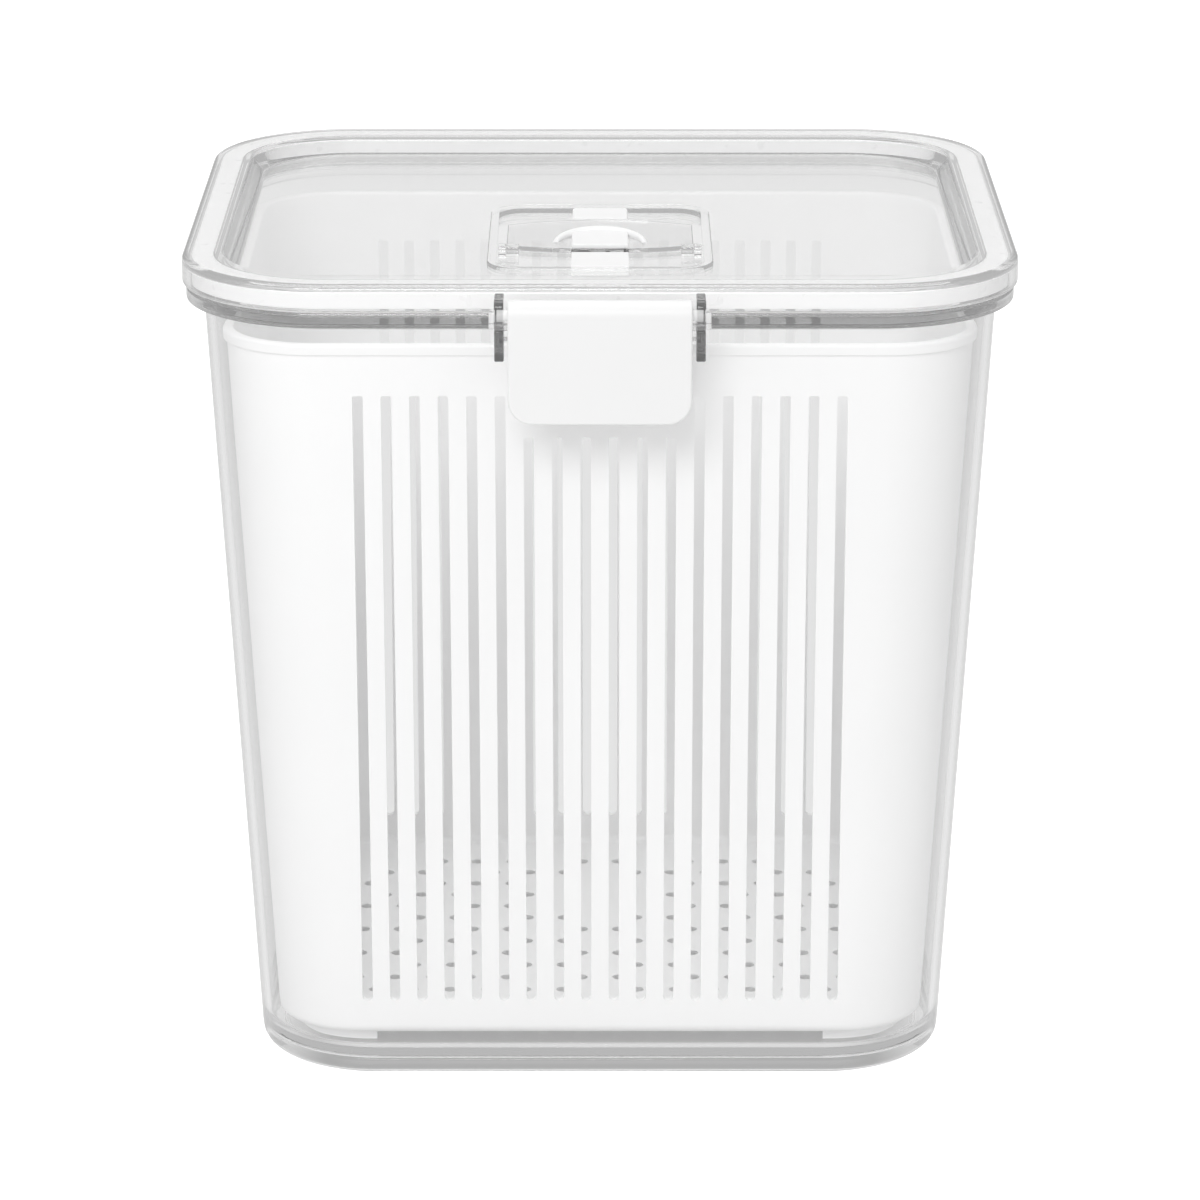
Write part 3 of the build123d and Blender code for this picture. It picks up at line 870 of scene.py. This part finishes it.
@dataclass
class Lid(Part):
    """Clear lid with its gasket and ears, and the frame and pocket of the vent."""

    skirt_wall: float = 0.0023
    channel_roof: float = 0.2273
    channel_inset: float = 0.0090
    plug_wall: float = 0.0022
    plug_foot: float = 0.2155
    recess_top: float = 0.0110
    recess_foot: float = 0.0145
    vent_y: float = -0.0245
    vent_half_x: float = 0.0305
    vent_half_y: float = 0.0385
    vent_corner: float = 0.0100
    vent_wall: float = 0.0024
    vent_top: float = 0.2255
    pocket_floor: float = 0.2235
    hole_y: float = -0.0209
    hole_radius: float = 0.0053
    strap_half: float = 0.0077
    strap_leg: float = 0.0024
    ear_low: float = 0.21925
    ear_high: float = 0.22755
    ear_end: float = 0.1073
    ear_corner: float = 0.0026
    hinge_y: float = -0.0380
    hinge_z: float = 0.2250
    hinge_radius: float = 0.0014
    hinge_start: float = 0.0256
    hinge_width: float = 0.0020
    skirt_round: float = 0.0018
    panel_round: float = 0.0012
    panel_ring: float = 0.010
    gasket_gap: float = 0.0004
    gasket_depth: float = 0.0046
    gasket_slack: float = 0.00005
    groove_outer: float = 0.0049
    groove_inner: float = 0.0080
    frame_root: float = 0.0006
    block_root: float = 0.0003
    vent_steps: int = 12

    def section(self) -> list[WallPoint]:
        """Wall section from the middle of the panel's underside, round the skirt, to the panel's top.

        Returns:
            The section's corners in order.
        """
        edge = self.stack.edge
        plug_inset = self.channel_inset + self.plug_wall
        return [
            edge(plug_inset + self.panel_ring, self.stack.panel_foot),
            edge(plug_inset, self.stack.panel_foot, Round.SOFT),
            edge(plug_inset, self.plug_foot, Round.EDGE),
            edge(self.channel_inset, self.plug_foot, Round.EDGE),
            edge(self.channel_inset, self.channel_roof, Round.MOULD),
            edge(self.skirt_wall, self.channel_roof, Round.MOULD),
            edge(self.skirt_wall, self.stack.skirt_foot, Round.MOULD),
            edge(0.0, self.stack.skirt_foot, Round.EDGE),
            edge(0.0, self.stack.lid_top, self.skirt_round),
            edge(self.recess_top, self.stack.lid_top, Round.SOFT),
            edge(self.recess_foot, self.stack.panel_top, self.panel_round),
            edge(self.recess_foot + self.panel_ring, self.stack.panel_top),
        ]

    def gasket_section(self) -> list[WallPoint]:
        """Closed section of the gasket, grooved over the bin's rim.

        Returns:
            The section's corners in order.
        """
        edge = self.stack.edge
        outer, inner = self.skirt_wall + self.gasket_gap, self.channel_inset - self.gasket_gap
        foot, roof = self.channel_roof - self.gasket_depth, self.channel_roof - self.gasket_slack
        groove = self.stack.rim_top
        return [
            edge(outer, foot, Round.FINE),
            edge(self.groove_outer, foot, Round.HAIR),
            edge(self.groove_outer, groove, Round.HAIR),
            edge(self.groove_inner, groove, Round.HAIR),
            edge(self.groove_inner, foot, Round.HAIR),
            edge(inner, foot, Round.FINE),
            edge(inner, roof, Round.SMALL),
            edge(outer, roof, Round.SMALL),
        ]

    def build(self, finishes: Finishes) -> None:
        """Builds and dresses the lid, its ears and its gasket.

        Args:
            finishes: the object's materials.
        """
        stack = self.stack
        piece = shell("clear_lid", stack.outline, self.section())
        self.add_vent_frame(piece)
        self.add_ears(finishes)
        dress(piece, finishes.clear, "lid", "clear_plastic", "lid")
        gasket = shell("gasket_ring", stack.outline, self.gasket_section(), closed=True)
        dress(gasket, finishes.soft_clear, "lid", "clear_silicone", "lid_gasket")

    def add_vent_frame(self, piece: Object) -> None:
        """Adds the vent's frame, pocket, holes and hinge blocks to the lid.

        Args:
            piece: the object that is changed.
        """
        low = (-self.vent_half_x, self.vent_y - self.vent_half_y)
        high = (self.vent_half_x, self.vent_y + self.vent_half_y)
        outer = rectangle(low, high, (self.vent_corner,) * 4, self.vent_steps)
        floor, wall = self.pocket_floor, self.vent_wall
        frame_solid = prism("frame", [outer], Along.Z, floor - self.frame_root, self.vent_top, Round.SMALL)
        combine(piece, frame_solid, Cut.JOIN)
        inner_low, inner_high = (low[0] + wall, low[1] + wall), (high[0] - wall, high[1] - wall)
        inner = rectangle(inner_low, inner_high, (self.vent_corner - wall,) * 4, self.vent_steps)
        combine(piece, prism("pocket", [inner], Along.Z, floor, self.vent_top + OVERCUT), Cut.REMOVE)
        leg = rectangle((-self.strap_half, inner_low[1]), (self.strap_half, inner_low[1] + self.strap_leg))
        holes = [circle((0.0, self.hole_y), self.hole_radius), leg]
        foot = self.stack.panel_foot
        combine(piece, prism("holes", holes, Along.Z, foot - OVERCUT, floor + OVERCUT), Cut.REMOVE)
        radius = self.hinge_radius
        turns = [math.radians(degrees) for degrees in range(0, 181, 15)]
        y, z, root = self.hinge_y, self.hinge_z, floor - self.block_root
        block = [(y + radius * math.cos(turn), z + radius * math.sin(turn)) for turn in turns]
        block += [(y - radius, root), (y + radius, root)]
        for start in (self.hinge_start, -self.hinge_start - self.hinge_width):
            end = start + self.hinge_width
            combine(piece, prism("block", [block], Along.X, start, end, Round.HAIR), Cut.JOIN)

    def add_ears(self, finishes: Finishes) -> None:
        """Builds the pair of ears that carries the latch.

        Args:
            finishes: the object's materials.
        """
        stack = self.stack
        root = -stack.outline.depth / 2
        radii = (self.ear_corner, 0.0, 0.0, self.ear_corner)
        ear = rectangle((-self.ear_end, self.ear_low), (root, self.ear_high), radii)
        for lug in stack.ear_pair("lid", ear):
            dress(lug, finishes.clear_ear, "lid", "clear_plastic", "lid")


@dataclass
class DrainBasket(Part):
    """White basket with slots front and back, floor holes and corner feet."""

    inset: float = 0.0059
    wall: float = 0.0020
    corner_tightening: float = 0.0043
    foot_z: float = 0.0108
    top_z: float = 0.2110
    floor_top: float = 0.0128
    bin_floor: float = 0.0073
    edge_round: float = 0.0035
    lip: float = 0.0009
    lip_height: float = 0.0030
    slot_count: int = 18
    slot_pitch: float = 0.00755
    slot_width: float = 0.0028
    slot_low: float = 0.0212
    slot_high: float = 0.1966
    short_slots: tuple[int, int] = (6, 12)
    short_drop: float = 0.0115
    hole_radius: float = 0.0018
    hole_pitch: Point2 = (0.0106, 0.0094)
    hole_margin: float = 0.0140
    blank_radius: float = 0.0160
    blank_shift: float = 0.0270
    foot_inset: float = 0.0057
    foot_width: float = 0.0028
    foot_reach: float = 0.0220
    foot_bite: float = 0.0008
    lip_round: float = 0.0009
    inner_round: float = 0.0025
    floor_ring: float = 0.012
    slot_softness: float = 0.35
    clear_of_wall: float = 0.05
    drain_reach: float = 0.002
    gap_reach: float = 0.01

    def section(self) -> list[WallPoint]:
        """Wall section from the middle of the underside, over the rim, to the middle of the floor.

        Returns:
            The section's corners in order.
        """
        lip_foot = self.top_z - self.lip_height
        return [
            self.at(self.foot_z, self.floor_ring),
            self.at(self.foot_z, 0.0, self.edge_round),
            self.at(lip_foot, 0.0, Round.FINE),
            self.at(lip_foot, -self.lip, Round.FINE),
            self.at(self.top_z, -self.lip, self.lip_round),
            self.at(self.top_z, self.wall, self.lip_round),
            self.at(self.floor_top, self.wall, self.inner_round),
            self.at(self.floor_top, self.wall + self.floor_ring),
        ]

    def at(self, z: float, extra: float, rounding: float = 0.0) -> WallPoint:
        """Returns a section point on the basket, whose corners are tighter than the bin's."""
        point = self.stack.wall(z, self.inset + extra, rounding)
        return replace(point, corner=point.corner - self.corner_tightening)

    def slot(self, x: float, high: float) -> list[Point2]:
        """Makes the outline of one slot: a flat top and a round lower end.

        Args:
            x: middle of the slot.
            high: height of its top.

        Returns:
            The outline in x and z.
        """
        half = self.slot_width / 2
        soft = half * self.slot_softness
        radii = (half, half, soft, soft)
        return rectangle((x - half, self.slot_low), (x + half, high), radii, steps=5)

    def slots(self, short: bool) -> list[list[Point2]]:
        """Outlines of a wall's slots.

        Args:
            short: whether the middle ones are short, as they are under the latch.

        Returns:
            One outline for each slot.
        """
        outlines = []
        for column in range(self.slot_count):
            x = (column - (self.slot_count - 1) / 2) * self.slot_pitch
            under_latch = short and self.short_slots[0] <= column < self.short_slots[1]
            outlines.append(self.slot(x, self.slot_high - (self.short_drop if under_latch else 0.0)))
        return outlines

    def holes(self) -> list[list[Point2]]:
        """Outlines of the floor holes: staggered rows, a round blank and rounded corners.

        Returns:
            One outline for each hole.
        """
        low = self.at(self.foot_z, 0.0)
        margin = 2 * (low.inset + self.wall + self.hole_margin)
        width, depth = self.stack.outline.width - margin, self.stack.outline.depth - margin
        corner = low.corner - self.wall - self.hole_margin / 2
        columns = int(width / self.hole_pitch[0]) + 1
        rows = int(depth / self.hole_pitch[1]) + 1
        outlines = []
        for row in range(rows):
            odd = row % 2
            y = (row - (rows - 1) / 2) * self.hole_pitch[1]
            for column in range(columns - odd):
                x = (column + odd / 2 - (columns - 1) / 2) * self.hole_pitch[0]
                over_x = max(abs(x) - (width / 2 - corner), 0.0)
                over_y = max(abs(y) - (depth / 2 - corner), 0.0)
                blank = math.hypot(x, y - self.blank_shift) <= self.blank_radius
                if math.hypot(over_x, over_y) <= corner and not blank:
                    outlines.append(circle((x, y), self.hole_radius, 20))
        return outlines

    def feet(self) -> Object:
        """Makes the ring under the floor, kept only round the four corners.

        Returns:
            The feet as one object.
        """
        outline = self.stack.outline
        outer = self.at(self.foot_z, self.foot_inset)
        inner = self.at(self.foot_z, self.foot_inset + self.foot_width)
        foot, top = self.bin_floor, self.foot_z + self.foot_bite
        corners = ((outer, foot), (outer, top), (inner, top), (inner, foot))
        section = [replace(point, z=z) for point, z in corners]
        feet = shell("feet", outline, section, closed=True)
        half_x, half_y = outline.width / 2 - outer.inset, outline.depth / 2 - outer.inset
        middle_x, middle_y = half_x - self.foot_reach, half_y - self.foot_reach
        reach_x, reach_y = half_x + self.gap_reach, half_y + self.gap_reach
        across = rectangle((-middle_x, -reach_y), (middle_x, reach_y))
        along = rectangle((-reach_x, -middle_y), (reach_x, middle_y))
        for gap in (across, along):
            combine(feet, prism("gap", [gap], Along.Z, 0.0, self.foot_z + self.gap_reach / 2), Cut.REMOVE)
        return feet

    def build(self, finishes: Finishes) -> None:
        """Builds and dresses the basket.

        Args:
            finishes: the object's materials.
        """
        outline = self.stack.outline
        face, inside = outline.depth / 2, self.clear_of_wall
        piece = shell("drain_basket", outline, self.section())
        combine(piece, prism("front", self.slots(True), Along.Y, -face, -inside), Cut.REMOVE)
        combine(piece, prism("back", self.slots(False), Along.Y, inside, face), Cut.REMOVE)
        low, high = self.foot_z - self.drain_reach, self.floor_top + self.drain_reach
        combine(piece, prism("drain", self.holes(), Along.Z, low, high), Cut.REMOVE)
        combine(piece, self.feet(), Cut.JOIN)
        dress(piece, finishes.basket_white, "basket", "white_plastic", "basket")


@dataclass
class SnapLatch(Part):
    """White latch plate with hinge barrel, cheeks and hook rib."""

    width: float = 0.0480
    thickness: float = 0.0025
    height: float = 0.0326
    corner: float = 0.0065
    barrel: float = 0.0040
    bore: float = 0.00155
    cheek: float = 0.0016
    cheek_depth: float = 0.0034
    hook_width: float = 0.0360
    hook_top: float = 0.2147
    hook_height: float = 0.0050
    hook_nose: float = -0.1003
    bite: float = 0.0005
    plate_round: float = 0.0007
    cheek_inset: float = 0.0001

    def build(self, finishes: Finishes) -> None:
        """Builds and dresses the latch, and paints its pin.

        Args:
            finishes: the object's materials.
        """
        pivot = (-self.stack.pivot_y, self.stack.pivot_z)
        face = pivot[0] - self.barrel
        inner = face + self.thickness
        foot = pivot[1] + self.barrel - self.height
        half = self.width / 2
        radii = (self.corner, self.corner, 0.0, 0.0)
        front = rectangle((-half, foot), (half, pivot[1]), radii, steps=10)
        piece = prism("snap_latch", [front], Along.Y, face, inner, self.plate_round, 4)
        barrel = circle(pivot, self.barrel, 48)
        combine(piece, prism("barrel", [barrel], Along.X, -half, half, Round.MOULD), Cut.JOIN)
        hook_foot = self.hook_top - self.hook_height
        hook = rectangle((inner - self.bite, hook_foot), (self.hook_nose, self.hook_top))
        hook_half = self.hook_width / 2
        combine(piece, prism("hook", [hook], Along.X, -hook_half, hook_half, Round.FINE), Cut.JOIN)
        cheek = rectangle((inner - self.bite, foot + self.corner), (inner + self.cheek_depth, pivot[1]))
        for start in (self.cheek_inset - half, half - self.cheek_inset - self.cheek):
            combine(piece, prism("cheek", [cheek], Along.X, start, start + self.cheek, Round.FINE), Cut.JOIN)
        bore = circle(pivot, self.bore, 24)
        combine(piece, prism("bore", [bore], Along.X, -half - OVERCUT, half + OVERCUT), Cut.REMOVE)
        dress(piece, finishes.white, "latch", "white_plastic", "latch")
        paint_node("latch_pin", finishes.white)


@dataclass
class Vent(Part):
    """Clear flap with its silicone plug, thumb crescent, strap and finger tab."""

    half_width: float = 0.0255
    back_y: float = -0.0084
    front_y: float = -0.0334
    bow_back: float = 0.0060
    bow_front: float = 0.0046
    foot_z: float = 0.2236
    top_z: float = 0.2249
    axis_y: float = -0.0380
    axis_z: float = 0.2250
    knuckle_radius: float = 0.0014
    knuckle_width: float = 0.0034
    pin_radius: float = 0.0007
    pin_end: float = 0.0276
    plug_y: float = -0.0209
    plug_radius: float = 0.0048
    strap_half: float = 0.0077
    strap_thickness: float = 0.0011
    strap_start: float = -0.0181
    strap_end: float = -0.0370
    crescent_y: float = -0.0306
    crescent_radius: float = 0.0135
    crescent_width: float = 0.0028
    crescent_height: float = 0.0020
    tab_start: float = -0.0024
    tab_end: float = 0.0104
    tab_height: float = 0.0017
    tab_corner: float = 0.0015
    crescent_root: float = 0.0003
    least_fade: float = 0.04
    fade_power: float = 0.7
    plate_steps: int = 24
    crescent_steps: int = 40
    end_width: float = 0.45
    arm_gap: float = 0.0001
    hole_slack: float = 0.00005

    def plate(self) -> list[Point2]:
        """Outline of the flap, with straight ends and bowed long edges.

        Returns:
            The outline in x and y.
        """
        half, steps = self.half_width, self.plate_steps
        outline: list[Point2] = []
        for side, edge, bow in ((-1, self.front_y, -self.bow_front), (1, self.back_y, self.bow_back)):
            for step in range(steps + 1):
                x = side * (half - 2 * half * step / steps)
                outline.append((x, edge + bow * (1 - (x / half) ** 2)))
        return outline

    def crescent(self) -> Object:
        """Makes the half ring, whose height and width fade towards its ends.

        Returns:
            The new object.
        """
        loops = []
        for step in range(self.crescent_steps + 1):
            turn = math.pi * step / self.crescent_steps
            fade = max(math.sin(turn), self.least_fade) ** self.fade_power
            half = self.crescent_width / 2 * (self.end_width + (1 - self.end_width) * fade)
            radius = self.crescent_radius - self.crescent_width / 2
            loop = []
            for angle in range(0, 181, 20):
                across = half * math.cos(math.radians(angle))
                up = self.crescent_height * fade * math.sin(math.radians(angle))
                reach = radius + across
                y = self.crescent_y + reach * math.sin(turn)
                loop.append((reach * math.cos(turn), y, self.top_z + up))
            inner, outer = loop[-1], loop[0]
            root = self.top_z - self.crescent_root
            loop += [(inner[0], inner[1], root), (outer[0], outer[1], root)]
            loops.append(loop)
        return tube("crescent", loops)

    def build_flap(self, finishes: Finishes) -> None:
        """Builds and dresses the clear flap.

        Args:
            finishes: the object's materials.
        """
        piece = prism("flap_plate", [self.plate()], Along.Z, self.foot_z, self.top_z, Round.FINE)
        knuckle = circle((self.axis_y, self.axis_z), self.knuckle_radius, 24)
        arm_low = (self.axis_y, self.foot_z + self.arm_gap)
        arm = rectangle(arm_low, (self.front_y + OVERCUT, self.top_z - self.arm_gap))
        for start in (-self.half_width, self.half_width - self.knuckle_width):
            end = start + self.knuckle_width
            combine(piece, prism("arm", [arm], Along.X, start + self.arm_gap, end - self.arm_gap), Cut.JOIN)
            combine(piece, prism("knuckle", [knuckle], Along.X, start, end, Round.HAIR), Cut.JOIN)
        pin = circle((self.axis_y, self.axis_z), self.pin_radius, 20)
        for start in (-self.pin_end, self.half_width - self.knuckle_width / 2):
            end = start + self.pin_end - self.half_width + self.knuckle_width / 2
            combine(piece, prism("pin", [pin], Along.X, start, end), Cut.JOIN)
        hole = circle((0.0, self.plug_y), self.plug_radius + self.hole_slack)
        cutter = prism("hole", [hole], Along.Z, self.foot_z - OVERCUT, self.top_z + OVERCUT)
        combine(piece, cutter, Cut.REMOVE)
        dress(piece, finishes.clear, "vent_flap", "clear_plastic", "vent_flap")

    def build(self, finishes: Finishes) -> None:
        """Builds and dresses the vent's pieces, and paints the strap's fixed end.

        Args:
            finishes: the object's materials.
        """
        self.build_flap(finishes)
        strap = rectangle((-self.strap_half, self.strap_end), (self.strap_half, self.strap_start))
        top = self.top_z + self.strap_thickness
        plug = prism("plug_strap", [strap], Along.Z, self.top_z, top, Round.FINE)
        stub = circle((0.0, self.plug_y), self.plug_radius)
        stub_top = self.top_z + self.crescent_root
        combine(plug, prism("stub", [stub], Along.Z, self.stack.panel_foot, stub_top, Round.FINE), Cut.JOIN)
        combine(plug, self.crescent(), Cut.JOIN)
        dress(plug, finishes.soft_white, "vent_flap", "white_silicone", "vent_plug")
        radii = (0.0, 0.0, self.tab_corner, self.tab_corner)
        tab = rectangle((-self.strap_half, self.tab_start), (self.strap_half, self.tab_end), radii)
        tab_top = self.foot_z + self.tab_height
        piece = prism("finger_tab", [tab], Along.Z, self.foot_z, tab_top, Round.SMALL)
        dress(piece, finishes.soft_white, "vent_flap", "white_silicone", "vent_tab")
        paint_node("strap_anchor", finishes.soft_white)


@dataclass(frozen=True)
class SoftBox:
    """A soft rectangular light.

    Args:
        name: name of the light.
        spot: where it hangs.
        aim: what it points at.
        size: its width and height.
        power: its power in watts.
    """

    name: str
    spot: Point3
    aim: Point3
    size: Point2
    power: float

    def hang(self) -> None:
        """Hangs the light in the scene."""
        data = bpy.data.lights.new(self.name, "AREA")
        data.shape = "RECTANGLE"
        data.size, data.size_y = self.size
        data.energy = self.power
        lamp = bpy.data.objects.new(self.name, data)
        lamp.location = self.spot
        lamp.rotation_euler = (Vector(self.aim) - Vector(self.spot)).to_track_quat("-Z", "Y").to_euler()
        bpy.context.scene.collection.objects.link(lamp)


@dataclass
class Studio:
    """White floor, soft lights and the photograph's camera."""

    frame_pixels: float = 1200.0
    focal_pixels: float = 5005.0
    camera_y: float = -1.35965
    camera_z: float = 0.5419
    pitch: float = 17.45
    sensor: float = 36.0
    world_light: float = 0.69
    floor_glow: float = 0.75
    glass_tone: float = 0.78
    edge_tone: float = 0.58
    # Painted shadow: how dark glass sees the floor under the foot.
    under_tone: float = 0.5
    flag_tone: float = 0.5
    gloss_light: float = 1.15
    floor_tone: float = 0.85
    floor_size: float = 6.0
    front_box: SoftBox = SoftBox("front_box", (-0.35, -1.5, 1.2), (0.0, 0.0, 0.1), (0.9, 0.6), power=10.8)
    top_box: SoftBox = SoftBox("top_box", (0.0, 0.35, 1.5), (0.0, 0.0, 0.2), (1.2, 0.8), power=4.5)
    sky_tones: tuple[Point2, ...] = ((0.0, 0.6), (0.35, 0.8), (0.6, 0.85), (1.0, 1.0))
    foot_half: Point2 = (0.095, 0.081)

    def camera(self) -> None:
        """Places the camera where the photograph was taken from."""
        data = bpy.data.cameras.new("camera")
        data.sensor_width = self.sensor
        data.lens = self.sensor * self.focal_pixels / self.frame_pixels
        data.clip_end = 20.0
        camera = bpy.data.objects.new("camera", data)
        camera.location = (0.0, self.camera_y, self.camera_z)
        camera.rotation_euler = (math.radians(90.0 - self.pitch), 0.0, 0.0)
        bpy.context.scene.collection.objects.link(camera)
        bpy.context.scene.camera = camera

    def world(self) -> None:
        """Lights everything evenly, and shows white behind the object."""
        world = bpy.data.worlds.new("studio")
        bpy.context.scene.world = world
        world.use_nodes = True
        nodes = Nodes(world.node_tree)
        direction = nodes.add("TexCoord").outputs["Generated"]
        parts = nodes.split(direction)
        aside = nodes.work_out("ABSOLUTE", parts["X"])
        sweep = ((0.0, self.glass_tone), (0.45, self.glass_tone), (0.8, self.edge_tone))
        backdrop = nodes.ramp(aside, sweep)
        sky = nodes.ramp(parts["Z"], self.sky_tones)
        flags = nodes.ramp(aside, ((0.1, 1.0), (0.25, self.flag_tone), (0.6, self.flag_tone), (0.95, 0.9)))
        flagged = nodes.add("VectorMath", {"0": sky, "1": flags}, operation="MULTIPLY").outputs[0]
        tones = ((WHITE, self.world_light), (flagged, self.gloss_light), (backdrop, 1.0), (WHITE, 1.0))
        soft, gloss, clear, white = (
            nodes.add("Background", {"Color": tone, "Strength": strength})
            for tone, strength in tones
        )
        rays = {"Is Glossy Ray": gloss, "Is Transmission Ray": clear, "Is Camera Ray": white}
        shown = nodes.by_ray(soft, rays)
        nodes.add("OutputWorld", {"Surface": shown.outputs[0]})

    def floor(self) -> None:
        """Lays a white floor with a soft shadow, which glass sees as a grey sweep with a painted shadow,
        darkest under the foot.
        """
        mesh = bmesh.new()
        bmesh.ops.create_grid(mesh, x_segments=1, y_segments=1, size=self.floor_size)
        floor = finish_mesh("floor", mesh)
        material, nodes = new_material("floor")
        parts = nodes.split(nodes.add("NewGeometry").outputs["Position"])
        # Painted shadow: glass sees the floor darkened inside the foot's plan, fading out towards its edge.
        across = nodes.work_out("ABSOLUTE", parts["X"])
        along = nodes.work_out("ABSOLUTE", nodes.work_out("SUBTRACT", parts["Y"], LID_MIDDLE_Y))
        part_x = nodes.work_out("DIVIDE", across, self.foot_half[0])
        part_y = nodes.work_out("DIVIDE", along, self.foot_half[1])
        reach = nodes.work_out("MAXIMUM", part_x, part_y)
        inputs = {"Value": reach, "From Min": 0.8, "From Max": 1.0, "To Min": self.under_tone}
        under = nodes.add("MapRange", inputs).outputs["Result"]
        sweep = nodes.ramp(across, ((0.0, self.glass_tone), (0.35, self.glass_tone), (1.0, self.edge_tone)))
        seen = nodes.add("VectorMath", {"0": sweep, "Scale": under}, operation="SCALE").outputs[0]
        grey = (self.floor_tone, self.floor_tone, self.floor_tone, 1.0)
        matte = nodes.add("BsdfDiffuse", {"Color": grey})
        lift = nodes.glow(WHITE, self.floor_glow)
        both = nodes.add("AddShader", {"0": matte.outputs[0], "1": lift.outputs[0]})
        gloss, clear = nodes.glow(WHITE), nodes.glow(seen)
        rays = {"Is Glossy Ray": gloss, "Is Transmission Ray": clear, "Is Camera Ray": both}
        shown = nodes.by_ray(matte, rays)
        nodes.add("OutputMaterial", {"Surface": shown.outputs[0]})
        floor.data.materials.append(material)

    def build(self) -> None:
        """Sets up the whole studio."""
        self.camera()
        self.world()
        self.floor()
        for box in (self.front_box, self.top_box):
            box.hang()
        bpy.context.scene.view_settings.view_transform = "Standard"


def main() -> None:
    """Builds the object and its studio, piece by piece."""
    logging.basicConfig(level=logging.INFO, format="%(name)s: %(message)s")
    finishes = Finishes()
    stack = Stack()
    parts: list[Part] = [ClearBin(stack), Lid(stack), DrainBasket(stack), SnapLatch(stack), Vent(stack)]
    for part in parts:
        part.build(finishes)
    Studio().build()


if __name__ == "__main__":
    main()
